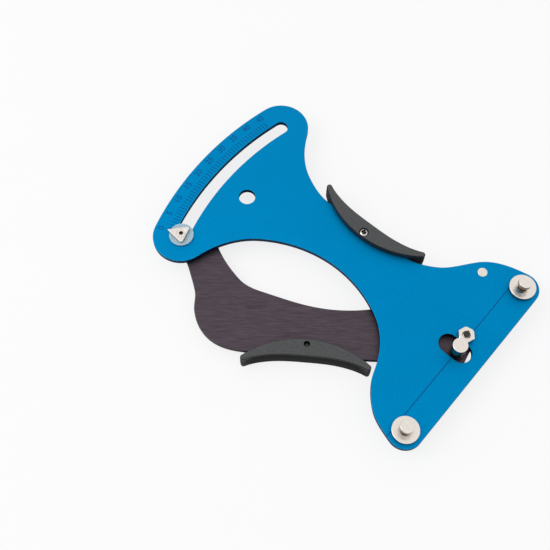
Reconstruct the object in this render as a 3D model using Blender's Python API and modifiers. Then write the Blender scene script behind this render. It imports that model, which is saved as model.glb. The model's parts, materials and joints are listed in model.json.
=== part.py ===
"""A spoke tension meter: a flat frame with a curved scale, and a lever that carries the pointer.

The origin is on the pivot axis, level with the lowest point of the tool.
+X points away from the grips, +Y runs up the spoke line and +Z is the side with the scale.
"""

import math

import bmesh
import bpy
from mathutils import Matrix, Vector

MM = 0.001

# Working sizes
pointer_reach = 161.8 * MM
post_spacing = 102.8 * MM
spoke_line_x = 6.65 * MM
spoke_middle_y = -9.1 * MM
post_height = 8.5 * MM
zero_angle = 199.2
last_angle = 167.0

# Plates
plate_thickness = 3.0 * MM
plate_gap = 1.2 * MM
fit_gap = 0.3 * MM
curve_step = 3.0 * MM
weld_distance = 0.002 * MM

# Frame outline
head_half_width = 15.75 * MM
post_corner_radius = 9.35 * MM
slot_half_width = 3.9 * MM
hang_hole_radius = 4.6 * MM
hang_hole_shares = (-0.876, -0.0705)
window_half_width = 5.35 * MM
window_y = -8.6 * MM
window_left_x = -4.4 * MM
window_right_x = 3.8 * MM
upper_corner_end = 100.0
lower_corner_start = -106.5
head_top_turn = 31.5
head_low_turn = 347.0

# Stations along a side: x and y as shares, then the heading in degrees.
# Those at the posts are shares of the post spacing, from the middle of the spoke line.
post_top_shares = [
    (-0.2638, 0.4730, 230.0),
    (-0.3574, 0.3545, 228.5),
    (-0.4897, 0.2663, 204.5),
]
post_bottom_shares = [
    (-0.4888, -0.1177, -29.2),
    (-0.3039, -0.3538, -71.9),
    (-0.1859, -0.5174, -40.0),
]

# All others are shares of the pointer's reach, from the pivot.
frame_top_shares = [
    (-0.371, 0.098, 183.0),
    (-0.478, 0.097, 180.0),
    (-0.6443, 0.097, 180.0),
    (-0.766, 0.134, 152.0),
    (-0.873, 0.243, 121.5),
]
frame_bottom_shares = [
    (-0.735, -0.166, 36.4),
    (-0.473, -0.0775, 0.0),
]
lever_top_shares = [
    (-0.074, 0.0124, 200.0),
    (-0.155, -0.0185, 200.0),
    (-0.289, -0.106, 229.0),
    (-0.446, -0.231, 208.0),
    (-0.614, -0.3015, 201.5),
    (-0.700, -0.3135, 170.0),
    (-0.8315, -0.271, 152.0),
    (-0.862, -0.265, 185.0),
    (-0.918, -0.286, 206.0),
]
lever_bottom_shares = [
    (-0.860, -0.3895, -33.0),
    (-0.777, -0.445, -38.0),
    (-0.7335, -0.4955, -42.0),
    (-0.627, -0.537, 0.0),
    (-0.500, -0.485, 35.0),
    (-0.357, -0.370, 35.8),
    (-0.1971, -0.262, 38.0),
    (-0.1706, -0.241, 38.0),
]
lever_right_shares = [(0.038, -0.014, 97.0)]

# Lever
lever_tip_radius = 6.0 * MM
lever_corner_x = 1.6 * MM
lever_corner_y = -12.5 * MM
lever_corner_radius = 6.4 * MM
lever_corner_start = -57.0
lever_corner_end = 10.0
lever_tip_start = 118.0
lever_tip_end = 250.0
tail_radius = 4.5 * MM

# Grips: one moulding, used twice
grip_height = 11.0 * MM
grip_inner_radius = 53.2 * MM
grip_inner_half_angle = 38.9
grip_width = 9.65 * MM
grip_tip_radius = 1.6 * MM
grip_tip_turn = 27.0
grip_waist_share = 0.6
grip_waist_rise = 1.1 * MM
grip_waist_turn = 10.0
grip_edge_radius = 0.7 * MM
grip_groove_depth = 0.9 * MM
grip_screw_inset = 3.0 * MM
grip_cover = 6.65 * MM
grip_flare_gap = 1.6 * MM

# Grip screw
grip_screw_head_radius = 2.3 * MM
grip_screw_head_height = 1.5 * MM
grip_screw_radius = 1.4 * MM
grip_screw_end_inset = 1.8 * MM

# Fixed posts
flange_radius = 7.15 * MM
flange_height = 2.0 * MM
neck_radius = 2.4 * MM
head_radius = 3.6 * MM
head_height = 2.6 * MM
head_taper = 1.0 * MM
post_shank_radius = 2.0 * MM
post_end_proud = 0.4 * MM
edge_break = 0.3 * MM

# Pivot
shoulder_radius = 2.5 * MM
thread_radius = 2.0 * MM
bolt_head_radius = 4.75 * MM
bolt_head_edge = 0.6 * MM
bolt_end_recess = 0.2 * MM
bush_wall = 1.2 * MM
thrust_washer_radius = 4.8 * MM
head_washer_radius = 5.0 * MM
head_washer_height = 0.8 * MM
nut_flats = 8.0 * MM
nut_height = 3.2 * MM

# Moving post
moving_post_x = 1.5 * MM
moving_post_radius = 4.0 * MM
moving_spigot_radius = 2.5 * MM
moving_spigot_proud = 0.4 * MM

# Return spring and its studs
anchor_shares = (-0.2087, 0.4436)
hook_x = 2.0 * MM
hook_y = 13.2 * MM
anchor_rivet_radius = 2.65 * MM
anchor_shoulder_radius = 3.6 * MM
lever_rivet_radius = 2.0 * MM
lever_rivet_proud = 0.1 * MM
stud_neck_radius = 2.1 * MM
stud_flange_radius = 3.3 * MM
stud_flange_height = 1.3 * MM
coil_radius = 2.95 * MM
wire_radius = 0.55 * MM
coil_pitch = 1.55 * MM
coil_end_reach = 6.2 * MM
hook_bend_radius = 1.4 * MM
points_per_turn = 10

# Pointer stack
washer_radius = 6.75 * MM
washer_height = 0.8 * MM
pointer_height = 1.2 * MM
pointer_screw_radius = 1.5 * MM
pointer_head_radius = 2.3 * MM
pointer_head_height = 0.9 * MM
spacer_radius = 3.5 * MM
pointer_nut_flats = 5.5 * MM
pointer_nut_height = 2.4 * MM
pointer_blunt_radius = 1.3 * MM
pointer_sharp_radius = 0.25 * MM
pointer_tip_reach = 8.0 * MM
pointer_tip_angle = 204.3
pointer_low_reach = 6.36 * MM
pointer_low_angle = 315.1
pointer_high_reach = 6.69 * MM
pointer_high_angle = 81.4

# Levels, from the lowest point up
lever_bottom = (grip_height - plate_thickness) / 2
lever_top = lever_bottom + plate_thickness
frame_bottom = lever_top + plate_gap
frame_top = frame_bottom + plate_thickness
lever_middle = (lever_bottom + lever_top) / 2
frame_middle = (frame_bottom + frame_top) / 2
stud_neck_high = lever_bottom - fit_gap
hook_level = (stud_flange_height + stud_neck_high) / 2
spring_axis_level = hook_level + hook_bend_radius


def polar(centre, radius, degrees):
    angle = math.radians(degrees)
    return Vector((centre[0] + radius * math.cos(angle), centre[1] + radius * math.sin(angle)))


# Places in the plates
pivot = Vector((0, 0))
pointer_pin = polar(pivot, pointer_reach, zero_angle)
slot_top = polar(pivot, pointer_reach, last_angle)
hang_hole = Vector(hang_hole_shares) * pointer_reach
spoke_middle = Vector((spoke_line_x, spoke_middle_y))
upper_post = Vector((spoke_line_x, spoke_middle_y + post_spacing / 2))
lower_post = Vector((spoke_line_x, spoke_middle_y - post_spacing / 2))
moving_post = Vector((moving_post_x, spoke_middle_y))
anchor = spoke_middle + Vector(anchor_shares) * post_spacing
spring_hook = Vector((hook_x, hook_y))

# Start with an empty scene
for old in list(bpy.data.objects):
    bpy.data.objects.remove(old, do_unlink=True)

parts = bpy.data.collections.new("spoke_tension_meter")
bpy.context.scene.collection.children.link(parts)
cutters = bpy.data.collections.new("cutters")
bpy.context.scene.collection.children.link(cutters)


def material(name, colour, metallic, roughness):
    made = bpy.data.materials.new(name)
    made.use_nodes = True
    shader = made.node_tree.nodes["Principled BSDF"]
    shader.inputs["Base Color"].default_value = (*colour, 1.0)
    shader.inputs["Metallic"].default_value = metallic
    shader.inputs["Roughness"].default_value = roughness
    made.diffuse_color = (*colour, 1.0)
    return made


blue_anodised = material("blue_anodised", (0.0, 0.231, 0.552), 0.6, 0.45)
plum_anodised = material("plum_anodised", (0.077, 0.056, 0.069), 0.7, 0.45)
black_nylon = material("black_nylon", (0.045, 0.047, 0.047), 0.0, 0.5)
nickel_steel = material("nickel_steel", (0.80, 0.78, 0.74), 1.0, 0.25)
white_nylon = material("white_nylon", (0.75, 0.80, 0.82), 0.0, 0.4)
bronze = material("bronze", (0.45, 0.28, 0.12), 1.0, 0.4)
spring_steel = material("spring_steel", (0.45, 0.45, 0.46), 1.0, 0.3)


# Outlines

def arc(centre, radius, start, end):
    """Points on an arc, no further apart than the curve step and no coarser than 15 degrees."""
    sweep = abs(end - start)
    by_length = math.radians(sweep) * radius / curve_step
    count = max(1, math.ceil(by_length), math.ceil(sweep / 15))
    return [polar(centre, radius, start + (end - start) * i / count) for i in range(count + 1)]


def circle(centre, radius):
    return arc(centre, radius, 0, 360)[:-1]


def bend(start, end):
    """A smooth bend from one station to the next, each a point with a heading in degrees."""
    first, first_heading = start
    last, last_heading = end
    turn = (last_heading - first_heading + 180) % 360 - 180
    chord = (last - first).length
    pull = chord * 2 / 3 / (1 + math.cos(math.radians(turn) / 2))
    first_pull = polar(first, pull, first_heading)
    last_pull = polar(last, -pull, last_heading)
    count = max(2, math.ceil(chord / curve_step))
    points = []
    for i in range(1, count):
        t = i / count
        u = 1 - t
        points.append(u**3 * first + 3 * u * u * t * first_pull + 3 * u * t * t * last_pull + t**3 * last)
    return points + [last]


def bends(stations):
    points = [stations[0][0]]
    for start, end in zip(stations, stations[1:]):
        points += bend(start, end)
    return points


def stations_from(shares, centre=pivot, size=pointer_reach):
    return [(centre + Vector((x, y)) * size, heading) for x, y, heading in shares]


def tangent(centre, radius, degrees):
    """The station where a side meets a round corner that runs anticlockwise."""
    return polar(centre, radius, degrees), degrees + 90


def loop(*stretches):
    """Join stretches into one closed outline and drop points that repeat."""
    points = [p for stretch in stretches for p in stretch]
    kept = [p for i, p in enumerate(points) if (p - points[i - 1]).length > weld_distance]
    return kept


def stadium(left, right, radius):
    return loop(arc(left, radius, 90, 270), arc(right, radius, -90, 90))


def rounded(corners):
    """A closed outline through corners (place, radius), each corner turned on its own radius."""
    points = []
    for i, (here, radius) in enumerate(corners):
        before = corners[i - 1][0]
        after = corners[(i + 1) % len(corners)][0]
        arriving = (here - before).normalized()
        leaving = (after - here).normalized()
        turn = arriving.angle(leaving)
        inward = (leaving - arriving).normalized()
        centre = here + inward * (radius / math.cos(turn / 2))
        start = math.degrees(math.atan2(-arriving.x, arriving.y))
        points += arc(centre, radius, start, start + math.degrees(turn))
    return points


def grown(points, amount):
    """An outline moved outwards by an amount."""
    moved = []
    for i, here in enumerate(points):
        first = (here - points[i - 1]).normalized()
        second = (points[(i + 1) % len(points)] - here).normalized()
        normal = (Vector((first.y, -first.x)) + Vector((second.y, -second.x))).normalized()
        moved.append(here + normal * amount)
    return moved


def frame_outline():
    top = [tangent(upper_post, post_corner_radius, upper_corner_end)]
    top += stations_from(post_top_shares, spoke_middle, post_spacing)
    top += stations_from(frame_top_shares)
    top.append(tangent(slot_top, head_half_width, head_top_turn))
    bottom = [tangent(pointer_pin, head_half_width, head_low_turn)]
    bottom += stations_from(frame_bottom_shares)
    bottom += stations_from(post_bottom_shares, spoke_middle, post_spacing)
    bottom.append(tangent(lower_post, post_corner_radius, lower_corner_start))
    return loop(
        arc(lower_post, post_corner_radius, lower_corner_start, 0),
        arc(upper_post, post_corner_radius, 0, upper_corner_end),
        bends(top),
        arc(slot_top, head_half_width, head_top_turn, last_angle),
        arc(pivot, pointer_reach + head_half_width, last_angle, zero_angle),
        arc(pointer_pin, head_half_width, zero_angle, head_low_turn),
        bends(bottom),
    )


def lever_outline():
    corner = Vector((lever_corner_x, lever_corner_y))
    right = [tangent(corner, lever_corner_radius, lever_corner_end)]
    right += stations_from(lever_right_shares)
    right.append(tangent(spring_hook, tail_radius, 0))
    top = [tangent(spring_hook, tail_radius, 180)]
    top += stations_from(lever_top_shares)
    top.append(tangent(pointer_pin, lever_tip_radius, lever_tip_start))
    bottom = [tangent(pointer_pin, lever_tip_radius, lever_tip_end)]
    bottom += stations_from(lever_bottom_shares)
    bottom.append(tangent(corner, lever_corner_radius, lever_corner_start))
    return loop(
        arc(corner, lever_corner_radius, lever_corner_start, lever_corner_end),
        bends(right),
        arc(spring_hook, tail_radius, 0, 180),
        bends(top),
        arc(pointer_pin, lever_tip_radius, lever_tip_start, lever_tip_end),
        bends(bottom),
    )


def slot_outline():
    return loop(
        arc(pivot, pointer_reach + slot_half_width, last_angle, zero_angle),
        arc(pointer_pin, slot_half_width, zero_angle, zero_angle + 180),
        arc(pivot, pointer_reach - slot_half_width, zero_angle, last_angle),
        arc(slot_top, slot_half_width, last_angle - 180, last_angle),
    )


def grip_outline(heading, side):
    """The crescent on a plate edge that runs at the heading, with its back on the side +1 (left) or -1.

    The middle of its inner edge, the one over the plate, is at the origin.
    """
    inner_centre = Vector((0, grip_inner_radius))
    tip_reach = grip_inner_radius - grip_tip_radius
    right_tip = polar(inner_centre, tip_reach, grip_inner_half_angle - 90)
    left_tip = polar(inner_centre, tip_reach, -grip_inner_half_angle - 90)
    right_back = polar(right_tip, grip_tip_radius, 90 + grip_tip_turn)
    left_back = polar(left_tip, grip_tip_radius, 90 - grip_tip_turn)
    waist_x = right_tip.x * grip_waist_share
    waist_y = grip_width + grip_waist_rise
    back = bends([
        (right_back, 180 + grip_tip_turn),
        (Vector((waist_x, waist_y)), 180 + grip_waist_turn),
        (Vector((0, grip_width)), 180),
        (Vector((-waist_x, waist_y)), 180 - grip_waist_turn),
        (left_back, 180 - grip_tip_turn),
    ])
    points = loop(
        arc(inner_centre, grip_inner_radius, -90 - grip_inner_half_angle, -90 + grip_inner_half_angle),
        arc(right_tip, grip_tip_radius, grip_inner_half_angle - 90, 90 + grip_tip_turn),
        back,
        arc(left_tip, grip_tip_radius, 90 - grip_tip_turn, 270 - grip_inner_half_angle),
    )
    if side < 0:
        points = [Vector((p.x, -p.y)) for p in reversed(points)]
    turn = Matrix.Rotation(math.radians(heading), 2)
    return [turn @ p for p in points]


def inwards(heading, side, distance):
    """A step square to an edge that runs at the heading, away from the side that the grip's back is on."""
    return polar(pivot, distance, heading - 90 * side)


# Solids

def shade(obj):
    bpy.context.view_layer.objects.active = obj
    obj.data.shade_smooth()
    obj.data.set_sharp_from_angle(angle=math.radians(35))


def flat_curve(name, outline, holes, low, high):
    """A flat solid from an outline and its holes, as a filled 2D curve."""
    data = bpy.data.curves.new(name, "CURVE")
    data.dimensions = "2D"
    data.fill_mode = "BOTH"
    data.extrude = (high - low) / 2
    for points in [outline] + holes:
        spline = data.splines.new("POLY")
        spline.points.add(len(points) - 1)
        for spot, p in zip(spline.points, points):
            spot.co = (p[0], p[1], 0, 1)
        spline.use_cyclic_u = True
    obj = bpy.data.objects.new(name, data)
    obj.location.z = (low + high) / 2
    bpy.context.scene.collection.objects.link(obj)
    return obj


def as_mesh(curve, collection=parts):
    """Turn a curve object into one closed mesh in place and remove the curve."""
    bpy.context.view_layer.update()
    evaluated = curve.evaluated_get(bpy.context.evaluated_depsgraph_get())
    mesh = bpy.data.meshes.new_from_object(evaluated)
    mesh.transform(curve.matrix_world)
    name = curve.name
    bpy.data.objects.remove(curve, do_unlink=True)
    work = bmesh.new()
    work.from_mesh(mesh)
    bmesh.ops.remove_doubles(work, verts=work.verts, dist=weld_distance)
    bmesh.ops.recalc_face_normals(work, faces=work.faces)
    work.to_mesh(mesh)
    work.free()
    obj = bpy.data.objects.new(name, mesh)
    collection.objects.link(obj)
    return obj


def plate(name, outline, holes, low, high, finish):
    obj = as_mesh(flat_curve(name, outline, holes, low, high))
    obj.data.materials.clear()
    obj.data.materials.append(finish)
    shade(obj)
    return obj


def turned(name, profile, spot, finish, steps=32, collection=parts):
    """A turned solid: (radius, height) pairs that run down the outer side, spun about +Z."""
    work = bmesh.new()
    verts = [work.verts.new((radius, 0, height)) for radius, height in profile]
    for a, b in zip(verts, verts[1:]):
        work.edges.new((a, b))
    if profile[0][0] > 0:
        work.edges.new((verts[-1], verts[0]))
    mesh = bpy.data.meshes.new(name)
    work.to_mesh(mesh)
    work.free()
    obj = bpy.data.objects.new(name, mesh)
    obj.location = (spot[0], spot[1], 0)
    collection.objects.link(obj)
    screw = obj.modifiers.new("turn", "SCREW")
    screw.angle = math.tau
    screw.steps = steps
    screw.render_steps = steps
    screw.use_merge_vertices = True
    screw.merge_threshold = weld_distance
    if finish:
        mesh.materials.append(finish)
    bpy.context.view_layer.update()
    spun = bpy.data.meshes.new_from_object(obj.evaluated_get(bpy.context.evaluated_depsgraph_get()))
    obj.modifiers.clear()
    obj.data = spun
    shade(obj)
    return obj


def ring(name, outer, inner, low, high, spot, finish, steps=32):
    profile = [(outer, high), (outer, low), (inner, low), (inner, high)]
    return turned(name, profile, spot, finish, steps)


def cut(obj, cutter, operation="DIFFERENCE"):
    step = obj.modifiers.new(operation.lower(), "BOOLEAN")
    step.operation = operation
    step.solver = "EXACT"
    step.object = cutter
    cutter.hide_render = True
    cutter.display_type = "WIRE"
    for collection in list(cutter.users_collection):
        collection.objects.unlink(cutter)
    cutters.objects.link(cutter)


def nut(name, flats, hole, low, high, spot, finish):
    """A hex nut with both faces chamfered, square to the spoke line."""
    corner = flats / 2 / math.cos(math.radians(30))
    hexagon = [polar(spot, corner, 30 + 60 * i) for i in range(6)]
    obj = as_mesh(flat_curve(name, hexagon, [circle(spot, hole)], low, high))
    obj.data.materials.clear()
    obj.data.materials.append(finish)
    drop = (corner - flats / 2) * math.tan(math.radians(30))
    spare = corner + fit_gap
    profile = [
        (0, high + drop),
        (flats / 2, high),
        (spare, high - (spare - flats / 2) * math.tan(math.radians(30))),
        (spare, low + (spare - flats / 2) * math.tan(math.radians(30))),
        (flats / 2, low),
        (0, low - drop),
    ]
    cut(obj, turned(name + "_chamfer", profile, spot, None, 48), "INTERSECT")
    return obj


def block(name, outline, low, high):
    """A flat solid without holes, whose two ends are one face each."""
    obj = as_mesh(flat_curve(name, outline, [], low, high))
    work = bmesh.new()
    work.from_mesh(obj.data)
    for level in (low, high):
        end = [f for f in work.faces if all(abs(v.co.z - level) < weld_distance for v in f.verts)]
        bmesh.ops.dissolve_faces(work, faces=end)
    work.to_mesh(obj.data)
    work.free()
    return obj


def grip_half(name, outline, seam, outer, pocket, hole, screw_spot):
    """One half of a grip, drawn in towards the seam, with the plate's pocket and a screw hole."""
    obj = block(name, outline, min(seam, outer), max(seam, outer))
    obj.data.materials.clear()
    obj.data.materials.append(black_nylon)
    work = bmesh.new()
    work.from_mesh(obj.data)
    drawn_in = grown(outline, -grip_groove_depth)
    for vert in work.verts:
        if abs(vert.co.z - seam) < weld_distance:
            nearest = min(range(len(outline)), key=lambda i: (outline[i] - vert.co.to_2d()).length)
            vert.co.x, vert.co.y = drawn_in[nearest]
    work.normal_update()
    rim = [
        e for e in work.edges
        if all(abs(v.co.z - outer) < weld_distance for v in e.verts) and e.calc_face_angle() > 1
    ]
    bmesh.ops.bevel(work, geom=rim, offset=grip_edge_radius, segments=3, profile=0.5, affect="EDGES")
    bmesh.ops.triangulate(work, faces=work.faces)
    work.to_mesh(obj.data)
    work.free()
    cut(obj, block(name + "_pocket", *pocket))
    cut(obj, turned(name + "_hole", hole, screw_spot, None, 24))
    weld = obj.modifiers.new("weld", "WELD")
    weld.merge_threshold = weld_distance
    shade(obj)
    return obj


def grip(prefix, edge_point, heading, side, middle, plate_points, head_up):
    """Two halves and their screw; the screw's head is on the side with the scale if head_up."""
    place = edge_point + inwards(heading, side, grip_cover)
    outline = [place + p for p in grip_outline(heading, side)]
    spot = place - inwards(heading, side, grip_screw_inset)
    half_pocket = plate_thickness / 2 + fit_gap
    pocket = (grown(plate_points, fit_gap), middle - half_pocket, middle + half_pocket)

    down = -1 if head_up else 1
    face = middle - down * grip_height / 2
    clear = grip_screw_radius + fit_gap
    head_clear = grip_screw_head_radius + fit_gap
    hole = [
        (0, face - down * fit_gap),
        (head_clear, face - down * fit_gap),
        (head_clear, face + down * fit_gap),
        (clear, face + down * (grip_screw_head_height + fit_gap)),
        (clear, face + down * (grip_height + fit_gap)),
        (0, face + down * (grip_height + fit_gap)),
    ]
    shape = [
        (0, face + down * edge_break),
        (grip_screw_head_radius, face + down * edge_break),
        (grip_screw_radius, face + down * grip_screw_head_height),
        (grip_screw_radius, face + down * (grip_height - grip_screw_end_inset)),
        (0, face + down * (grip_height - grip_screw_end_inset)),
    ]
    if not head_up:
        hole.reverse()
        shape.reverse()
    halves = []
    for name, towards in (("_front", 1), ("_back", -1)):
        seam = middle + towards * fit_gap / 2
        outer = middle + towards * grip_height / 2
        halves.append(grip_half(prefix + name, outline, seam, outer, pocket, hole, spot))
    screw = turned(prefix + "_screw", shape, spot, nickel_steel, 24)
    return halves + [screw], spot


# Frame
frame_points = frame_outline()
frame_waist = stations_from(frame_top_shares)[1][0]
frame_grip, frame_grip_spot = grip("frame_grip", frame_waist, 0, 1, frame_middle, frame_points, True)
frame_holes = [
    slot_outline(),
    circle(hang_hole, hang_hole_radius),
    stadium(Vector((window_left_x, window_y)), Vector((window_right_x, window_y)), window_half_width),
    circle(pivot, thread_radius + fit_gap),
    circle(upper_post, post_shank_radius + fit_gap),
    circle(lower_post, post_shank_radius + fit_gap),
    circle(anchor, anchor_rivet_radius + fit_gap),
    circle(frame_grip_spot, grip_screw_radius + fit_gap),
]
plate("frame_plate", frame_points, frame_holes, frame_bottom, frame_top, blue_anodised)

post_foot = frame_top + fit_gap
post_top = frame_top + post_height
post_nut_high = frame_bottom - fit_gap
post_nut_low = post_nut_high - nut_height
post_hole = post_shank_radius + fit_gap
for name, spot in (("upper", upper_post), ("lower", lower_post)):
    turned(name + "_fixed_post", [
        (0, post_top),
        (head_radius - edge_break, post_top),
        (head_radius, post_top - edge_break),
        (head_radius, post_top - head_height),
        (neck_radius, post_top - head_height - head_taper),
        (neck_radius, post_foot + flange_height),
        (flange_radius - edge_break, post_foot + flange_height),
        (flange_radius, post_foot + flange_height - edge_break),
        (flange_radius, post_foot),
        (post_shank_radius, post_foot),
        (post_shank_radius, post_nut_low - post_end_proud),
        (0, post_nut_low - post_end_proud),
    ], spot, nickel_steel, 40)
    nut(name + "_post_nut", nut_flats, post_hole, post_nut_low, post_nut_high, spot, nickel_steel)

anchor_shoulder = frame_bottom - fit_gap
turned("spring_anchor_stud", [
    (0, frame_top),
    (anchor_rivet_radius, frame_top),
    (anchor_rivet_radius, anchor_shoulder),
    (anchor_shoulder_radius, anchor_shoulder),
    (anchor_shoulder_radius, stud_neck_high),
    (stud_neck_radius, stud_neck_high),
    (stud_neck_radius, stud_flange_height),
    (stud_flange_radius, stud_flange_height),
    (stud_flange_radius, 0),
    (0, 0),
], anchor, nickel_steel)

# Pivot: the bolt's head, a washer, the lever's bush, a washer, the plate and the nut
nut_low = frame_top + fit_gap
nut_high = nut_low + nut_height
shoulder_high = frame_bottom - fit_gap
head_washer_high = lever_bottom - fit_gap
head_washer_low = head_washer_high - head_washer_height
bolt_head_high = head_washer_low - fit_gap
turned("pivot_bolt", [
    (0, nut_high - bolt_end_recess),
    (thread_radius - edge_break, nut_high - bolt_end_recess),
    (thread_radius, nut_high - bolt_end_recess - edge_break),
    (thread_radius, shoulder_high),
    (shoulder_radius, shoulder_high),
    (shoulder_radius, bolt_head_high),
    (bolt_head_radius, bolt_head_high),
    (bolt_head_radius, bolt_head_edge),
    (bolt_head_radius - bolt_head_edge, 0),
    (0, 0),
], pivot, nickel_steel)
nut("pivot_nut", nut_flats, thread_radius + fit_gap, nut_low, nut_high, pivot, nickel_steel)
bore = shoulder_radius + fit_gap
thrust_washer_low = lever_top + fit_gap
ring("pivot_thrust_washer", thrust_washer_radius, bore, thrust_washer_low, shoulder_high, pivot, bronze)
ring("pivot_head_washer", head_washer_radius, bore, head_washer_low, head_washer_high, pivot, nickel_steel)

# Lever
lever_axis = bpy.data.objects.new("lever_axis", None)
lever_axis.location.z = lever_middle
parts.objects.link(lever_axis)

# The lever's grip lies on its straight lower edge, with its end just short of the frame's flare
lever_points = lever_outline()
lever_edge, lever_heading = stations_from(lever_bottom_shares)[5]
flare = stations_from(post_bottom_shares, spoke_middle, post_spacing)[1][0]
grip_end = max(p.x for p in grip_outline(lever_heading, -1)) + inwards(lever_heading, -1, grip_cover).x
along = flare.x - grip_flare_gap - grip_end - lever_edge.x
lever_seat = lever_edge + Vector((along, along * math.tan(math.radians(lever_heading))))
lever_grip, lever_grip_spot = grip(
    "lever_grip", lever_seat, lever_heading, -1, lever_middle, lever_points, False
)
bush_radius = bore + bush_wall
lever_holes = [
    circle(pivot, bush_radius + fit_gap),
    circle(moving_post, moving_spigot_radius + fit_gap),
    circle(spring_hook, lever_rivet_radius + fit_gap),
    circle(pointer_pin, pointer_screw_radius + fit_gap),
    circle(lever_grip_spot, grip_screw_radius + fit_gap),
]
plate("lever_plate", lever_points, lever_holes, lever_bottom, lever_top, plum_anodised)
ring("pivot_bushing", bush_radius, bore, lever_bottom, lever_top, pivot, bronze)
turned("moving_post", [
    (0, post_top),
    (moving_post_radius - edge_break, post_top),
    (moving_post_radius, post_top - edge_break),
    (moving_post_radius, lever_top + fit_gap),
    (moving_spigot_radius, lever_top + fit_gap),
    (moving_spigot_radius, lever_bottom - moving_spigot_proud),
    (0, lever_bottom - moving_spigot_proud),
], moving_post, nickel_steel, 40)
turned("lever_spring_stud", [
    (0, lever_top + lever_rivet_proud),
    (lever_rivet_radius, lever_top + lever_rivet_proud),
    (lever_rivet_radius, stud_neck_high),
    (stud_neck_radius, stud_neck_high),
    (stud_neck_radius, stud_flange_height),
    (stud_flange_radius, stud_flange_height),
    (stud_flange_radius, 0),
    (0, 0),
], spring_hook, nickel_steel)

# Pointer and what holds it on the lever
washer_low = frame_top + fit_gap
washer_high = washer_low + washer_height
pointer_low = washer_high + fit_gap
pointer_high = pointer_low + pointer_height
pin_clear = pointer_screw_radius + fit_gap
spacer_low = lever_top + fit_gap
pointer_nut_high = lever_bottom - fit_gap
pointer_nut_low = pointer_nut_high - pointer_nut_height
ring("pointer_washer", washer_radius, pin_clear, washer_low, washer_high, pointer_pin, white_nylon, 40)
ring("pointer_spacer", spacer_radius, pin_clear, spacer_low, frame_top, pointer_pin, bronze)
pointer_corners = [
    (polar(pointer_pin, pointer_tip_reach, pointer_tip_angle), pointer_sharp_radius),
    (polar(pointer_pin, pointer_low_reach, pointer_low_angle), pointer_blunt_radius),
    (polar(pointer_pin, pointer_high_reach, pointer_high_angle), pointer_blunt_radius),
]
pointer = plate("pointer", rounded(pointer_corners), [], pointer_low, pointer_high, nickel_steel)
sink_radius = pointer_head_radius + fit_gap
cut(pointer, turned("pointer_sink", [
    (0, pointer_high + fit_gap),
    (sink_radius, pointer_high + fit_gap),
    (sink_radius, pointer_high),
    (pin_clear, pointer_high - pointer_head_height),
    (pin_clear, pointer_low - fit_gap),
    (0, pointer_low - fit_gap),
], pointer_pin, None))
turned("pointer_screw", [
    (0, pointer_high),
    (pointer_head_radius, pointer_high),
    (pointer_screw_radius, pointer_high - pointer_head_height),
    (pointer_screw_radius, 0),
    (0, 0),
], pointer_pin, nickel_steel)
nut("pointer_nut", pointer_nut_flats, pin_clear, pointer_nut_low, pointer_nut_high, pointer_pin, nickel_steel)

# What turns with the lever hangs from its axis
lever_names = ["lever_plate", "pivot_bushing", "moving_post", "lever_spring_stud"]
lever_names += ["pointer", "pointer_washer", "pointer_spacer", "pointer_screw", "pointer_nut"]
lever_names += [piece.name for piece in lever_grip]
for name in lever_names:
    piece = bpy.data.objects[name]
    piece.parent = lever_axis
    piece.matrix_parent_inverse = Matrix.Translation((0, 0, -lever_middle))


# Return spring
def spring_path():
    """Hook, straight, quarter bend, coil, quarter bend, straight, hook, as one line of points."""
    span = spring_hook - anchor
    along = span.normalized()
    across = Vector((-along.y, along.x))
    coil_turns = math.floor((span.length - 2 * coil_end_reach) / coil_pitch) + 0.5
    coil_length = coil_turns * coil_pitch
    coil_start = (span.length - coil_length) / 2
    coil_end = coil_start + coil_length
    wire = wire_radius * 2

    def at(s, t, z):
        spot = anchor + along * s + across * t
        return Vector((spot.x, spot.y, z))

    points = [at(wire, -coil_radius, hook_level)]
    for i in range(9):
        a = math.radians(-90 - 180 * i / 8)
        points.append(at(coil_radius * math.cos(a), coil_radius * math.sin(a), hook_level))
    for i in range(4):
        a = math.radians(90 * i / 4)
        s = coil_start - hook_bend_radius * (1 - math.sin(a))
        points.append(at(s, coil_radius, spring_axis_level - hook_bend_radius * math.cos(a)))
    steps = round(coil_turns * points_per_turn)
    for i in range(steps + 1):
        a = math.tau * coil_turns * i / steps
        s = coil_start + coil_length * i / steps
        points.append(at(s, coil_radius * math.cos(a), spring_axis_level + coil_radius * math.sin(a)))
    for i in range(1, 5):
        a = math.radians(90 * i / 4)
        s = coil_end + hook_bend_radius * (1 - math.cos(a))
        points.append(at(s, -coil_radius, spring_axis_level - hook_bend_radius * math.sin(a)))
    for i in range(9):
        a = math.radians(-90 + 180 * i / 8)
        s = span.length + coil_radius * math.cos(a)
        points.append(at(s, coil_radius * math.sin(a), hook_level))
    points.append(at(span.length - wire, coil_radius, hook_level))
    return points


def least_gap(points):
    """The least space between two stretches of the wire that aren't neighbours along it."""
    apart = wire_radius * 6
    reach = [0.0]
    for a, b in zip(points, points[1:]):
        reach.append(reach[-1] + (b - a).length)
    least = min(
        (points[i] - points[j]).length
        for i in range(len(points))
        for j in range(i)
        if reach[i] - reach[j] > apart
    )
    return least - 2 * wire_radius


spring_points = spring_path()
spring_data = bpy.data.curves.new("return_spring", "CURVE")
spring_data.dimensions = "3D"
spring_data.bevel_depth = wire_radius
spring_data.bevel_resolution = 1
spring_data.use_fill_caps = True
spring_line = spring_data.splines.new("POLY")
spring_line.points.add(len(spring_points) - 1)
for spot, p in zip(spring_line.points, spring_points):
    spot.co = (*p, 1)
spring = bpy.data.objects.new("return_spring", spring_data)
spring_data.materials.append(spring_steel)
parts.objects.link(spring)
print("return_spring: least gap to itself %.2f mm" % (least_gap(spring_points) / MM))
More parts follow.
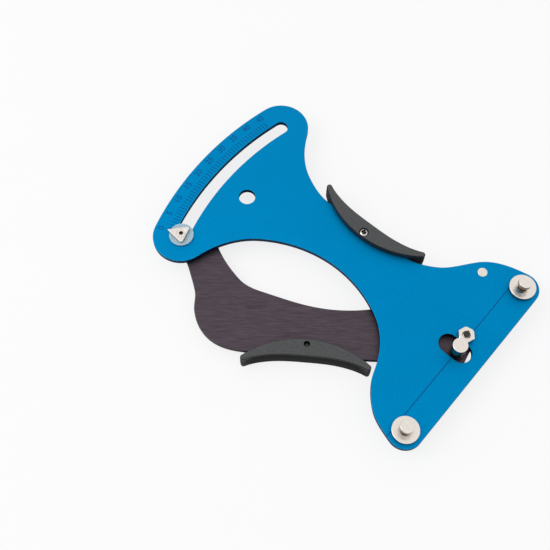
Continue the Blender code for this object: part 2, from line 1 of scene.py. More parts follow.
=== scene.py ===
# %% [markdown]
# # Dressing a spoke tension meter
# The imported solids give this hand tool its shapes, its places and its one joint.
# Here each solid gets its looks: finer edges, an engraved scale, turned marks, recesses and finishes.
# Every piece is drawn in millimetres and becomes metres when it is finished.

# %% Load the frame
import json
import math

import bmesh
import bpy
from mathutils import Matrix, Vector
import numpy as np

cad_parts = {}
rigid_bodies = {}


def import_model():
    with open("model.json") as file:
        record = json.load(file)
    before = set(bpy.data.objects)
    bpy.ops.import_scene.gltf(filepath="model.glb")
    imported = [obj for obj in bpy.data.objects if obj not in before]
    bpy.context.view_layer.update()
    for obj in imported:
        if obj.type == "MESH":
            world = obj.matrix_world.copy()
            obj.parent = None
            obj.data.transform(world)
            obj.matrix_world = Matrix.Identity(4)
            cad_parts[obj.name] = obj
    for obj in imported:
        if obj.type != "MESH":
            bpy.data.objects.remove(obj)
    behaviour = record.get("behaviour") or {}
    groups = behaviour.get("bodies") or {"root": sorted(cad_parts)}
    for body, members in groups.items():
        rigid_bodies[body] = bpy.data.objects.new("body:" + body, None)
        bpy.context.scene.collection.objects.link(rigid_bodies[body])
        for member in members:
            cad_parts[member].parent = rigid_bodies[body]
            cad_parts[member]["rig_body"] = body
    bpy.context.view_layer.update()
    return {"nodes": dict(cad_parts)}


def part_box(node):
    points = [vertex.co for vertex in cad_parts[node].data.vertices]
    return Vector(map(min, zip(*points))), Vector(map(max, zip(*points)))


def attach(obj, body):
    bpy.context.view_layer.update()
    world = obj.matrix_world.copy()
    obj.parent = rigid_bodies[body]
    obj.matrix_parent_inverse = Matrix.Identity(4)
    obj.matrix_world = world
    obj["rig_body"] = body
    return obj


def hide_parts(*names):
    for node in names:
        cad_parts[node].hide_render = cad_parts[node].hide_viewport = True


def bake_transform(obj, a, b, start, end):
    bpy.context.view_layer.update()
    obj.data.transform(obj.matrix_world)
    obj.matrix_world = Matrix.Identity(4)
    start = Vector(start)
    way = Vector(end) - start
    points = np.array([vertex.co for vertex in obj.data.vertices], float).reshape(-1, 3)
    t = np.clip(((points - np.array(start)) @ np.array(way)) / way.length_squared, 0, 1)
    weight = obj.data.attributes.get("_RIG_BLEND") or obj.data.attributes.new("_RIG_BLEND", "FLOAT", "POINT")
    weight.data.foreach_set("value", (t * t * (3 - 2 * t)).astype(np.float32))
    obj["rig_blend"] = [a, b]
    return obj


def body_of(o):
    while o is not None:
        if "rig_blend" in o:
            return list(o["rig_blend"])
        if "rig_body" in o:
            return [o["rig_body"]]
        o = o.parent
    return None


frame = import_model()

MM = 0.001

# %% [markdown]
# ## Where things are
# The levels of the two plates and the middles of the turned parts are read from the boxes of the
# solids instead of being typed again, so every piece sits exactly where its solid does.

# %% Read the levels and the middles


def box(node):
    low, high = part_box(node)
    return low / MM, high / MM


def levels(node):
    low, high = box(node)
    return low.z, high.z


def middle(node):
    low, high = box(node)
    return (low + high).to_2d() / 2


frame_low, frame_high = levels("frame_plate")
lever_low, lever_high = levels("lever_plate")
pivot = middle("pivot_nut")
pin = middle("pointer_nut")
print("plates", round(frame_low, 2), round(frame_high, 2), round(lever_low, 2), round(lever_high, 2))
print("pin", [round(v, 2) for v in pin])

# %% [markdown]
# ## Camera
# The photograph looks down on the tool from beyond the lower fixed post, with the scale at the far left.
# The directions are the camera's own right and backward axes, solved from straight lines in the picture.
# The third axis follows from them, because the three stand square to each other.

# %% Set the camera
right = Vector((0.75714, 0.65325, 0.00345)).normalized()
back = Vector((0.27759, -0.32651, 0.90351)).normalized()
up = back.cross(right).normalized()
camera_place = Vector((35.425, -195.14, 434.998 + frame_high)) * MM
sensor_width = 36
focal_length = 58.659
camera_data = bpy.data.cameras.new("camera")
camera_data.sensor_width = sensor_width
camera_data.lens = focal_length
camera = bpy.data.objects.new("camera", camera_data)
camera_turn = Matrix((right, up, back)).transposed().to_4x4()
camera.matrix_world = Matrix.Translation(camera_place) @ camera_turn
bpy.context.scene.collection.objects.link(camera)
bpy.context.scene.camera = camera
print("camera", [round(v, 3) for v in camera.location])

# %% [markdown]
# ## Colours and nodes
# Colours are written as the hex values that a paint program shows, which are sRGB, while shaders reckon
# in linear light. So one function turns every colour. A second one adds a node of any kind, sets it and
# links it in one line, which keeps each material readable from top to bottom. A third gives how level the
# surface lies, which the materials use to paint shade onto upright walls, so that sawn, moulded and turned
# walls look darker than the faces beside them.

# %% Colour and node helpers


def linear(hex_code):
    channels = [int(hex_code[i : i + 2], 16) / 255 for i in (1, 3, 5)]
    return [c / 12.92 if c <= 0.04045 else ((c + 0.055) / 1.055) ** 2.4 for c in channels] + [1.0]


def connect(tree, node, key, value):
    """Give an input a number, a hex colour, an output, or a node, whose first output in use is linked."""
    named = [socket for socket in node.inputs if socket.name == key and socket.enabled]
    socket = node.inputs[key] if isinstance(key, int) else named[0]
    if isinstance(value, bpy.types.Node):
        value = [output for output in value.outputs if output.enabled][0]
    if isinstance(value, bpy.types.NodeSocket):
        tree.links.new(value, socket)
    else:
        socket.default_value = linear(value) if isinstance(value, str) else value


def add(tree, kind, inputs=None, **settings):
    node = tree.nodes.new("ShaderNode" + kind)
    for name, value in settings.items():
        setattr(node, name, value)
    for key, value in (inputs or {}).items():
        connect(tree, node, key, value)
    return node


def start_material(name, **constants):
    """A new material with its plain numbers set: its tree, its shader and a place in millimetres."""
    made = bpy.data.materials.new(name)
    made.use_nodes = True
    tree = made.node_tree
    shader = tree.nodes["Principled BSDF"]
    for socket, value in constants.items():
        connect(tree, shader, socket.replace("_", " "), value)
    place = add(tree, "TexCoord").outputs["Object"]
    place = add(tree, "Mapping", {"Vector": place, "Scale": (1 / MM, 1 / MM, 1 / MM)})
    return made, tree, shader, place


def levelness(tree):
    """How level the surface lies: 1 on a flat top or underside, 0 on an upright wall."""
    normal = add(tree, "NewGeometry").outputs["Normal"]
    upright = add(tree, "SeparateXYZ", {"Vector": normal}).outputs["Z"]
    return add(tree, "Math", {0: upright}, operation="ABSOLUTE")


print("#0084BA in linear light", [round(c, 3) for c in linear("#0084BA")])

# %% [markdown]
# ## Blue anodised aluminium
# The frame is sheet aluminium, blasted matt and then anodised in a blue dye. The oxide is clear and full
# of dye, so the sheet reads as a deep even colour with a faint metal gleam, and mirrors nothing sharply.
# The blast leaves dimples of about 0.1 mm. They are drawn at 0.8 mm here, or they would vanish.
# The sawn walls are painted darker, as shade, and handling has rubbed the rims a little lighter.

# %% Make the blue
blast_size = 0.8
dye_cloud_size = 22.0
scuffs_per_mm = 0.35
blue_anodised, tree, shader, place = start_material("blue_anodised_aluminium", Metallic=1.0)
blast = add(tree, "TexNoise", {"Vector": place, "Scale": 1 / blast_size, "Detail": 2.0})
cloud = add(tree, "TexNoise", {"Vector": place, "Scale": 1 / dye_cloud_size, "Detail": 3.0})
flatness = levelness(tree)
wall_shade = add(tree, "MapRange", {"Value": flatness, "From Min": 0.55, "From Max": 0.1})
rim = add(tree, "Math", {0: flatness, 1: 0.72}, operation="SUBTRACT")
rim = add(tree, "Math", {0: rim}, operation="ABSOLUTE")
rim = add(tree, "MapRange", {"Value": rim, "From Min": 0.24, "From Max": 0.08})
scuff = add(tree, "TexNoise", {"Vector": place, "Scale": scuffs_per_mm, "Detail": 4.0, "Roughness": 0.7})
scuff = add(tree, "MapRange", {"Value": scuff, "From Min": 0.42, "From Max": 0.68, "To Max": 0.8})
worn = add(tree, "Math", {0: rim, 1: scuff}, operation="MULTIPLY")
dye = add(tree, "Mix", {"Factor": cloud, "A": "#0084BA", "B": "#008EC8"}, data_type="RGBA")
speck = add(tree, "MapRange", {"Value": blast, "From Min": 0.3, "From Max": 0.7, "To Max": 0.35})
dye = add(tree, "Mix", {"Factor": speck, "A": dye, "B": "#00699F"}, data_type="RGBA")
# Upright walls get a painted shade of dark navy.
with_wall_shade = add(tree, "Mix", {"Factor": wall_shade, "A": dye, "B": "#00294A"}, data_type="RGBA")
rubbed = add(tree, "Mix", {"Factor": worn, "A": with_wall_shade, "B": "#4FA9D6"}, data_type="RGBA")
connect(tree, shader, "Base Color", rubbed)
dull = add(tree, "MapRange", {"Value": blast, "To Min": 0.44, "To Max": 0.6})
connect(tree, shader, "Roughness", dull)
bump = add(tree, "Bump", {"Height": blast, "Distance": 0.012 * MM, "Strength": 0.6})
connect(tree, shader, "Normal", bump)
print("blast dimples", blast_size, "mm")

# %% [markdown]
# ## Engraved marks
# The scale is cut through the dyed skin with a fine graver and blacked a little, so it reads as a darker,
# duller blue. It is a material of its own, put on the floors and walls of the cut marks. The graver's
# tooth marks are drawn at three to a millimetre, coarser than real ones, so that they show close up.

# %% Make the engraved blue
tooth_marks_per_mm = 3.0
engraved_blue, tree, shader, place = start_material("engraved_blue_anodised", Metallic=0.8, Roughness=0.68)
tooth = add(tree, "TexNoise", {"Vector": place, "Scale": tooth_marks_per_mm, "Detail": 3.0})
ink = add(tree, "Mix", {"Factor": tooth, "A": "#045A98", "B": "#0A72B2"}, data_type="RGBA")
connect(tree, shader, "Base Color", ink)
bump = add(tree, "Bump", {"Height": tooth, "Distance": 0.03 * MM})
connect(tree, shader, "Normal", bump)

# %% [markdown]
# ## Plum anodised aluminium
# The lever is the same sheet, but brushed instead of blasted, and dyed a grey plum. Brushing leaves fine
# parallel scratches, so the noise is stretched: long along the grain and narrow across it. The real lines
# are about 0.05 mm wide. Here they are 0.35 mm, the least that shows from the camera.

# %% Make the plum
grain_angle = 38.5
grain_width = 0.35
grain_length = 7.0
band_width = 8.0
band_length = 40.0
plum_anodised, tree, shader, place = start_material("plum_brushed_anodised_aluminium", Metallic=0.85)
along = add(tree, "Mapping", {"Vector": place, "Rotation": (0, 0, -math.radians(grain_angle))})
stretched = add(tree, "Mapping", {"Vector": along, "Scale": (1 / grain_length, 1 / grain_width, 0.2)})
grain = add(tree, "TexNoise", {"Vector": stretched, "Scale": 1.0, "Detail": 4.0, "Roughness": 0.6})
broad = add(tree, "Mapping", {"Vector": along, "Scale": (1 / band_length, 1 / band_width, 0.2)})
broad = add(tree, "TexNoise", {"Vector": broad, "Scale": 1.0, "Detail": 2.0})
flatness = levelness(tree)
wall_shade = add(tree, "MapRange", {"Value": flatness, "From Min": 0.55, "From Max": 0.1})
streak = add(tree, "MapRange", {"Value": grain, "From Min": 0.3, "From Max": 0.7})
plum = add(tree, "Mix", {"Factor": streak, "A": "#3C3239", "B": "#5B5059"}, data_type="RGBA")
band = add(tree, "MapRange", {"Value": broad, "From Min": 0.35, "From Max": 0.7, "To Max": 0.25})
plum = add(tree, "Mix", {"Factor": band, "A": plum, "B": "#564B54"}, data_type="RGBA")
# Upright walls get a painted shade of dark plum.
with_wall_shade = add(tree, "Mix", {"Factor": wall_shade, "A": plum, "B": "#2E262B"}, data_type="RGBA")
connect(tree, shader, "Base Color", with_wall_shade)
dull = add(tree, "MapRange", {"Value": grain, "To Min": 0.36, "To Max": 0.56})
connect(tree, shader, "Roughness", dull)
bump = add(tree, "Bump", {"Height": grain, "Distance": 0.015 * MM, "Strength": 0.7})
connect(tree, shader, "Normal", bump)
print("grain", grain_width, "mm wide at", grain_angle, "degrees")

# %% [markdown]
# ## Black nylon
# The grips are glass-filled nylon, injection moulded in a spark-eroded mould. That leaves a fine satin
# grain, which scatters the light into a soft grey sheen on top. The walls and rims are painted nearly black
# as shade. Grey flecks are the glass near the skin. Near the seam's height the walls are painted darker
# still, as the shade in the finger groove under its rim.
# The real grain is about 0.1 mm and the glass is finer still. Both are drawn coarser, so that they show.

# %% Make the grips' nylon
mould_grain = 0.45
fleck_size = 0.9
sheen_patches_per_mm = 0.12
nylon_ior = 1.53
nylon_gloss = 0.25
seam_shade_start = 4.2
seam_shade_full = 1.6
black_nylon, tree, shader, place = start_material(
    "black_glass_filled_nylon", IOR=nylon_ior, Specular_IOR_Level=nylon_gloss
)
grain = add(tree, "TexVoronoi", {"Vector": place, "Scale": 1 / mould_grain})
cloud = add(tree, "TexNoise", {"Vector": place, "Scale": sheen_patches_per_mm, "Detail": 3.0})
flatness = levelness(tree)
# Walls and rims are painted nearly black, as shade.
wall_shade = add(tree, "MapRange", {"Value": flatness, "From Min": 0.96, "From Max": 0.75})
fleck = add(tree, "TexNoise", {"Vector": place, "Scale": 1 / fleck_size, "Detail": 2.0})
fleck = add(tree, "MapRange", {"Value": fleck, "From Min": 0.3, "From Max": 0.7})
grey = add(tree, "Mix", {"Factor": fleck, "A": "#454647", "B": "#545556"}, data_type="RGBA")
grey = add(tree, "Mix", {"Factor": wall_shade, "A": grey, "B": "#1C1D1D"}, data_type="RGBA")
# Near the seam's height the walls get a painted shade, darkest at the seam.
own = add(tree, "Attribute", attribute_name="from_axis").outputs["Vector"]
from_seam = add(tree, "SeparateXYZ", {"Vector": own}).outputs["Z"]
seam = add(tree, "Math", {0: from_seam}, operation="ABSOLUTE")
seam = add(tree, "MapRange", {"Value": seam, "From Min": seam_shade_start, "From Max": seam_shade_full})
grey = add(tree, "Mix", {"Factor": seam, "A": grey, "B": "#050506"}, data_type="RGBA")
connect(tree, shader, "Base Color", grey)
dull = add(tree, "MapRange", {"Value": cloud, "To Min": 0.44, "To Max": 0.56})
connect(tree, shader, "Roughness", dull)
bump = add(tree, "Bump", {"Height": grain, "Distance": 0.02 * MM, "Strength": 0.5})
connect(tree, shader, "Normal", bump)
print("mould grain", mould_grain, "mm")

# %% [markdown]
# ## Turned nickel
# The posts, nuts and screws are steel, turned or formed and then nickel plated, which gives the warm white.
# A lathe tool leaves rings on a flat end and fine bands round a wall. Both come from one number, the
# distance from the piece's axis plus the height, run through a sine. Each turned piece carries that place
# as an attribute called from_axis, so one material serves them all, and the flat pointer, which has none,
# gets no rings. The real feed is about 0.1 mm a turn, and 0.45 mm is drawn so that it shows. Upright
# walls take a darker tone, which is painted shade.

# %% Make the nickel
feed = 0.45
smudges_per_mm = 0.6
nickel, tree, shader, place = start_material("nickel_plated_steel", Metallic=1.0)
own = add(tree, "Attribute", attribute_name="from_axis").outputs["Vector"]
split = add(tree, "SeparateXYZ", {"Vector": own})
flat_place = add(tree, "CombineXYZ", {"X": split.outputs["X"], "Y": split.outputs["Y"]})
radius = add(tree, "VectorMath", {0: flat_place}, operation="LENGTH").outputs["Value"]
path = add(tree, "Math", {0: radius, 1: split.outputs["Z"]}, operation="ADD")
turns = add(tree, "Math", {0: path, 1: math.tau / feed}, operation="MULTIPLY")
rings = add(tree, "Math", {0: turns}, operation="SINE")
smudge = add(tree, "TexNoise", {"Vector": place, "Scale": smudges_per_mm, "Detail": 3.0})
warm = add(tree, "Mix", {"Factor": smudge, "A": "#DCD3CA", "B": "#EEE8E1"}, data_type="RGBA")
flatness = levelness(tree)
# Upright walls get a painted shade of darker grey-brown.
wall_shade = add(tree, "MapRange", {"Value": flatness, "From Min": 0.55, "From Max": 0.1})
warm = add(tree, "Mix", {"Factor": wall_shade, "A": warm, "B": "#746C64"}, data_type="RGBA")
connect(tree, shader, "Base Color", warm)
shine = {"From Min": 0.3, "From Max": 0.7, "To Min": 0.16, "To Max": 0.3}
dull = add(tree, "MapRange", {"Value": smudge, **shine})
connect(tree, shader, "Roughness", dull)
bump = add(tree, "Bump", {"Height": rings, "Distance": 0.004 * MM, "Strength": 0.25})
connect(tree, shader, "Normal", bump)
print("lathe feed", feed, "mm")

# %% [markdown]
# ## Dark recesses
# A deep place, such as a drive socket or the neck of a post, is given a dull dark steel as painted shade.
# The thread ends of the pivot bolt and the grip screws get it as well, as painted shade in their holes.

# %% Make the dark steel
shade_mottle_per_mm = 2.5
painted_shade_steel, tree, shader, place = start_material("steel_in_painted_shade", Metallic=1.0)
shade_mottle = add(tree, "TexNoise", {"Vector": place, "Scale": shade_mottle_per_mm, "Detail": 3.0})
dark = add(tree, "Mix", {"Factor": shade_mottle, "A": "#2C2A28", "B": "#55524E"}, data_type="RGBA")
connect(tree, shader, "Base Color", dark)
dull = add(tree, "MapRange", {"Value": shade_mottle, "To Min": 0.4, "To Max": 0.65})
connect(tree, shader, "Roughness", dull)

# %% [markdown]
# ## White nylon
# The washer under the pointer is natural nylon. It is cloudy: light goes in and comes out again nearby,
# so its edge is soft and a little of the blue below shines through. A share of rough transmission gives
# part of that, and a tint of blue in the white gives the rest.

# %% Make the washer's nylon
haze_size = 2.0
white_nylon, tree, shader, place = start_material("natural_nylon", IOR=nylon_ior, Transmission_Weight=0.3)
haze = add(tree, "TexNoise", {"Vector": place, "Scale": 1 / haze_size, "Detail": 2.0})
milk = add(tree, "Mix", {"Factor": haze, "A": "#B4DAEC", "B": "#CEE8F4"}, data_type="RGBA")
connect(tree, shader, "Base Color", milk)
dull = add(tree, "MapRange", {"Value": haze, "To Min": 0.3, "To Max": 0.45})
connect(tree, shader, "Roughness", dull)

# %% [markdown]
# ## Bronze and spring steel
# The bush, the thrust washer and the pointer's spacer are oil-soaked sintered bronze, whose open pores
# make it matt and speckled. Real pores are well under 0.1 mm wide, and about two to a millimetre are
# drawn, so that they show close up. The spring is drawn music wire, grey and patchy with oil.

# %% Make the bronze and the wire
pores_per_mm = 2.2
oil_patches_per_mm = 1.4
bronze, tree, shader, place = start_material("sintered_bronze", Metallic=1.0)
pores = add(tree, "TexVoronoi", {"Vector": place, "Scale": pores_per_mm})
metal = add(tree, "Mix", {"Factor": pores, "A": "#7A5A33", "B": "#B98E55"}, data_type="RGBA")
connect(tree, shader, "Base Color", metal)
dull = add(tree, "MapRange", {"Value": pores, "To Min": 0.5, "To Max": 0.34})
connect(tree, shader, "Roughness", dull)
bump = add(tree, "Bump", {"Height": pores, "Distance": 0.03 * MM})
connect(tree, shader, "Normal", bump)

spring_steel, tree, shader, place = start_material("drawn_spring_steel", Metallic=1.0)
oil = add(tree, "TexNoise", {"Vector": place, "Scale": oil_patches_per_mm, "Detail": 4.0})
metal = add(tree, "Mix", {"Factor": oil, "A": "#7B7B7D", "B": "#A6A6A6"}, data_type="RGBA")
connect(tree, shader, "Base Color", metal)
dull = add(tree, "MapRange", {"Value": oil, "To Min": 0.22, "To Max": 0.42})
connect(tree, shader, "Roughness", dull)
print("materials", len(bpy.data.materials))

# %% [markdown]
# ## Finishing a piece
# Every piece but the spring ends the same way: millimetres become metres, the mesh is smoothed except at
# its sharp corners, and the piece takes over the body of the solid it stands for, which is hidden.
# Weighted normals keep the big flat faces flat right up to their rounded rims.

# %% Define the last steps
sharp_angle = math.radians(38)
merge_distance = 0.002


def finish_piece(mesh, name, node, materials, axis=None):
    data = bpy.data.meshes.new(name)
    mesh.to_mesh(data)
    mesh.free()
    if axis is not None:
        own = data.attributes.new("from_axis", "FLOAT_VECTOR", "POINT")
        for vertex in data.vertices:
            own.data[vertex.index].vector = vertex.co - Vector((*axis, 0)[:3])
    data.transform(Matrix.Scale(MM, 4))
    data.shade_smooth()
    data.set_sharp_from_angle(angle=sharp_angle)
    for finish in materials:
        data.materials.append(finish)
    piece = bpy.data.objects.new(name, data)
    bpy.context.scene.collection.objects.link(piece)
    solid = frame["nodes"][node]
    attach(piece, body_of(solid)[0])
    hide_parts(node)
    weighted = piece.modifiers.new("weighted_normals", "WEIGHTED_NORMAL")
    weighted.keep_sharp = True
    print(name, len(data.polygons), "faces")
    return piece


def soften(mesh, width, segments=3, angle=30, clamp=False):
    """Round every edge that turns more than an angle."""
    edges = [e for e in mesh.edges if e.is_manifold and e.calc_face_angle() > math.radians(angle)]
    bmesh.ops.bevel(
        mesh,
        geom=edges,
        affect="EDGES",
        offset=width,
        offset_type="OFFSET",
        segments=segments,
        profile=0.5,
        material=-1,
        loop_slide=False,
        clamp_overlap=clamp,
    )


def combine(first, second, operation):
    """Cut, join or intersect two meshes with the Boolean modifier, and give back a new mesh."""
    pair = []
    for mesh in (first, second):
        data = bpy.data.meshes.new("workpiece")
        mesh.to_mesh(data)
        mesh.free()
        pair.append(bpy.data.objects.new("workpiece", data))
        bpy.context.scene.collection.objects.link(pair[-1])
    cut = pair[0].modifiers.new("cut", "BOOLEAN")
    cut.object = pair[1]
    cut.operation = operation
    cut.solver = "EXACT"
    cut.use_self = True
    result = bmesh.new()
    result.from_object(pair[0], bpy.context.evaluated_depsgraph_get())
    for workpiece in pair:
        bpy.data.objects.remove(workpiece, do_unlink=True)
    return result


def as_mesh(curve):
    """A text or a curve as a closed mesh."""
    carrier = bpy.data.objects.new("carrier", curve)
    bpy.context.scene.collection.objects.link(carrier)
    evaluated = carrier.evaluated_get(bpy.context.evaluated_depsgraph_get())
    data = bpy.data.meshes.new_from_object(evaluated)
    bpy.data.objects.remove(carrier, do_unlink=True)
    mesh = bmesh.new()
    mesh.from_mesh(data)
    bpy.data.meshes.remove(data)
    bmesh.ops.remove_doubles(mesh, verts=mesh.verts, dist=merge_distance)
    bmesh.ops.recalc_face_normals(mesh, faces=mesh.faces)
    return mesh


# %% [markdown]
# ## Plates and grips from their solids
# The outlines of both plates and both grips are right in the solids, so their meshes are copied. A packed
# mesh is loose triangles: it is merged, its flat faces are made whole, and then the rims are rounded.
# A sheet that has been cut and tumbled has a rim of about a quarter of a millimetre.

# %% Copy a solid
flat_angle = math.radians(0.3)


def copied(node):
    mesh = bmesh.new()
    mesh.from_mesh(frame["nodes"][node].data)
    bmesh.ops.scale(mesh, vec=(1 / MM, 1 / MM, 1 / MM), verts=mesh.verts)
    bmesh.ops.remove_doubles(mesh, verts=mesh.verts, dist=merge_distance)
    bmesh.ops.dissolve_limit(mesh, angle_limit=flat_angle, verts=mesh.verts, edges=mesh.edges)
    print(node, "copied with", len(mesh.faces), "faces")
    return mesh


# %% [markdown]
# ## Sheet with rounded rims
# Both plates are flat sheet with holes. The rims of the solid's upper face give the outline and the holes.
# They become one flat curve, because a curve with an extrusion and a bevel rounds every rim evenly, also
# round the holes, which is what tumbling does to real sheet. Bezier handles draw the arcs between the
# solid's points, so the outline is rounder than the solid's facets. The solids keep a small gap round
# each rivet and bush. Real ones are pressed in, so those holes are drawn in to the piece that fills them.

# %% Define a sheet
longest_step = 3.4
corner_turn = math.radians(25)
tumbled_rim = 0.25


def rims(node):
    """The closed loops of points round a solid's upper face."""
    mesh = copied(node)
    high = levels(node)[1]
    tops = {e for e in mesh.edges if all(abs(v.co.z - high) < merge_distance for v in e.verts)}
    tops = {e for e in tops if any(abs(face.normal.z) < 0.5 for face in e.link_faces)}
    loops = []
    while tops:
        edge = tops.pop()
        loop = list(edge.verts)
        while loop[-1] is not loop[0]:
            edge = next(e for e in loop[-1].link_edges if e in tops)
            tops.discard(edge)
            loop.append(edge.other_vert(loop[-1]))
        loops.append([v.co.to_2d() for v in loop[:-1]])
    mesh.free()
    return loops


def smooth_line(curve, loop):
    """A closed Bezier line through the points. Long steps stay straight, and sharp corners stay sharp."""
    line = curve.splines.new("BEZIER")
    line.bezier_points.add(len(loop) - 1)
    line.use_cyclic_u = True
    for i, point in enumerate(line.bezier_points):
        before = loop[i] - loop[i - 1]
        after = loop[(i + 1) % len(loop)] - loop[i]
        arriving, leaving = before.normalized(), after.normalized()
        if arriving.angle(leaving) < corner_turn:
            if max(before.length, after.length) > longest_step:
                heading = arriving if before.length > after.length else leaving
            else:
                heading = (arriving * after.length + leaving * before.length).normalized()
            arriving = leaving = heading
        point.handle_left_type = point.handle_right_type = "FREE"
        point.co = (*loop[i], 0)
        point.handle_left = (*(loop[i] - arriving * before.length / 3), 0)
        point.handle_right = (*(loop[i] + leaving * after.length / 3), 0)


def sheet(node, rim_radius, pressed):
    """A plate. The hole of each piece in pressed is drawn in to the radius given beside it."""
    low, high = levels(node)
    curve = bpy.data.curves.new(node, "CURVE")
    curve.dimensions = "2D"
    curve.fill_mode = "BOTH"
    curve.extrude = (high - low) / 2 - rim_radius
    curve.bevel_depth = rim_radius
    curve.bevel_resolution = 2
    curve.offset = -rim_radius
    curve.resolution_u = 3
    for loop in rims(node):
        spot = sum(loop, Vector((0, 0))) / len(loop)
        for filler, radius in pressed:
            if (spot - middle(filler)).length < 0.1:
                loop = [spot + (place - spot).normalized() * radius for place in loop]
        smooth_line(curve, loop)
    mesh = as_mesh(curve)
    bmesh.ops.translate(mesh, vec=(0, 0, (low + high) / 2), verts=mesh.verts)
    least, most = box(node)
    for vertex in mesh.verts:
        vertex.co = [min(max(vertex.co[i], least[i]), most[i]) for i in range(3)]
    print(node, "volume", round(mesh.calc_volume(), 1), "cubic millimetres")
    return mesh


# %% [markdown]
# ## The engraved scale
# The scale runs from 0 to 45 along the outside of the slot, one tick to a unit and a number to every
# fifth. The numbers are text turned into a mesh. Ticks are thin blocks, and so is the long line that
# marks the axis of the posts. All of them are cut out of the plate in one Boolean, 0.15 mm deep.

# %% Cut the marks into the frame plate
scale_zero = 199.2
scale_sweep = 30
last_unit = 45
numbered_every = 5
scale_step = scale_sweep / last_unit
tick_radius = 168.5
tick_length = 4.0
tick_width = 0.42
number_radius = 173.8
number_size = 4.9
number_weight = 0.05
engraving_depth = 0.15
engraving_top = 0.3
line_x = 1.4
line_width = 0.55
line_start = 42.0
line_end = -75.0


def block(length, width):
    """A flat block on the plate, as deep as the engraving, with its middle on the origin."""
    mesh = bmesh.new()
    bmesh.ops.create_cube(mesh, size=1.0)
    bmesh.ops.scale(mesh, vec=(length, width, engraving_depth + engraving_top), verts=mesh.verts)
    rise = (engraving_top - engraving_depth) / 2
    bmesh.ops.translate(mesh, vec=(0, 0, frame_high + rise), verts=mesh.verts)
    return mesh


def number(text):
    curve = bpy.data.curves.new("number", "FONT")
    curve.body = text
    curve.size = number_size
    curve.align_x = "CENTER"
    curve.align_y = "CENTER"
    curve.extrude = (engraving_depth + engraving_top) / 2
    curve.offset = number_weight
    curve.resolution_u = 3
    mesh = as_mesh(curve)
    rise = (engraving_top - engraving_depth) / 2
    bmesh.ops.translate(mesh, vec=(0, 0, frame_high + rise), verts=mesh.verts)
    return mesh


def gather(target, mesh, place):
    """Add a mesh to a target, moved by a matrix."""
    data = bpy.data.meshes.new("mark")
    mesh.to_mesh(data)
    mesh.free()
    data.transform(place)
    target.from_mesh(data)
    bpy.data.meshes.remove(data)


marks = bmesh.new()
for unit in range(last_unit + 1):
    turn = Matrix.Rotation(math.radians(scale_zero - unit * scale_step), 4, "Z")
    gather(marks, block(tick_length, tick_width), turn @ Matrix.Translation((tick_radius, 0, 0)))
    if unit % numbered_every == 0:
        outward = Matrix.Rotation(math.radians(-90), 4, "Z")
        gather(marks, number(str(unit)), turn @ Matrix.Translation((number_radius, 0, 0)) @ outward)
line_middle = Matrix.Translation((line_x, (line_start + line_end) / 2, 0))
gather(marks, block(line_width, line_start - line_end), line_middle)

plate = sheet("frame_plate", tumbled_rim, [("spring_anchor_stud", 2.68)])
whole = plate.calc_volume()
plate = combine(plate, marks, "DIFFERENCE")
print("engraving took away", round(whole - plate.calc_volume(), 1), "cubic millimetres")
for face in plate.faces:
    height = face.calc_center_median().z
    square = abs(face.normal.z) > 0.95 or abs(face.normal.z) < 0.05
    if square and frame_high - engraving_depth - 0.01 < height < frame_high - 0.03:
        face.material_index = 1
finish_piece(plate, "engraved_frame_plate", "frame_plate", [blue_anodised, engraved_blue])

# %% [markdown]
# ## The lever plate
# The lever has no marks, only its rounded rim and its brushed faces.

# %% Dress the lever plate
pressed = [("lever_spring_stud", 2.03), ("moving_post", 2.53), ("pivot_bushing", 4.02)]
plate = sheet("lever_plate", tumbled_rim, pressed)
finish_piece(plate, "brushed_lever_plate", "lever_plate", [plum_anodised])

# %% [markdown]
# ## The grips
# Each grip is two moulded halves with a narrow seam between them. The fingers lie in a channel along the
# outer side, which runs out before the tips. The copied wall gets a few more rings of points, and each
# point then goes in or out along its own direction: in, to a rounded channel, or out, to an upright wall.

# %% Dress the grips
solid_draw_in = 0.9
rim_radius = 0.7
channel_depth = 1.8
channel_run_out = 9.0
grip_edge = 0.18
ring_shares = (0.12, 0.26, 0.4, 0.6, 0.8)


def smooth_step(value):
    value = min(max(value, 0.0), 1.0)
    return value * value * (3 - 2 * value)


def shape_wall(mesh, outer, seam):
    """Turn the wall that leans in towards the seam into an upright one with a finger channel."""
    top = outer + math.copysign(rim_radius, seam - outer)
    for share in ring_shares:
        level = (0, 0, top + (seam - top) * share)
        everything = mesh.verts[:] + mesh.edges[:] + mesh.faces[:]
        bmesh.ops.bisect_plane(mesh, geom=everything, plane_co=level, plane_no=(0, 0, 1))
    mesh.normal_update()
    spots = [v.co.to_2d() for v in mesh.verts]
    first = max(spots, key=lambda p: (p - spots[0]).length)
    last = max(spots, key=lambda p: (p - first).length)
    chord = (last - first).normalized()
    centre = (first + last) / 2
    outside = Vector((-chord.y, chord.x))
    if outside.dot(sum(spots, Vector((0, 0))) / len(spots) - centre) > 0:
        outside.negate()
    moves = {}
    for vertex in mesh.verts:
        leaning = [f.normal.to_2d().normalized() for f in vertex.link_faces if 0.1 < abs(f.normal.z) < 0.3]
        depth = (vertex.co.z - top) / (seam - top)
        if leaning and depth > 0.01:
            direction = sum(leaning, Vector((0, 0))).normalized()
            to_tip = (last - first).length / 2 - abs((vertex.co.to_2d() - centre).dot(chord))
            keep = smooth_step((direction.dot(outside) - 0.3) / 0.3) * smooth_step(to_tip / channel_run_out)
            inward = channel_depth * keep * smooth_step((depth - 0.05) / 0.6)
            moves[vertex] = direction * (solid_draw_in * depth - inward)
    for vertex, move in moves.items():
        vertex.co += move.to_3d()


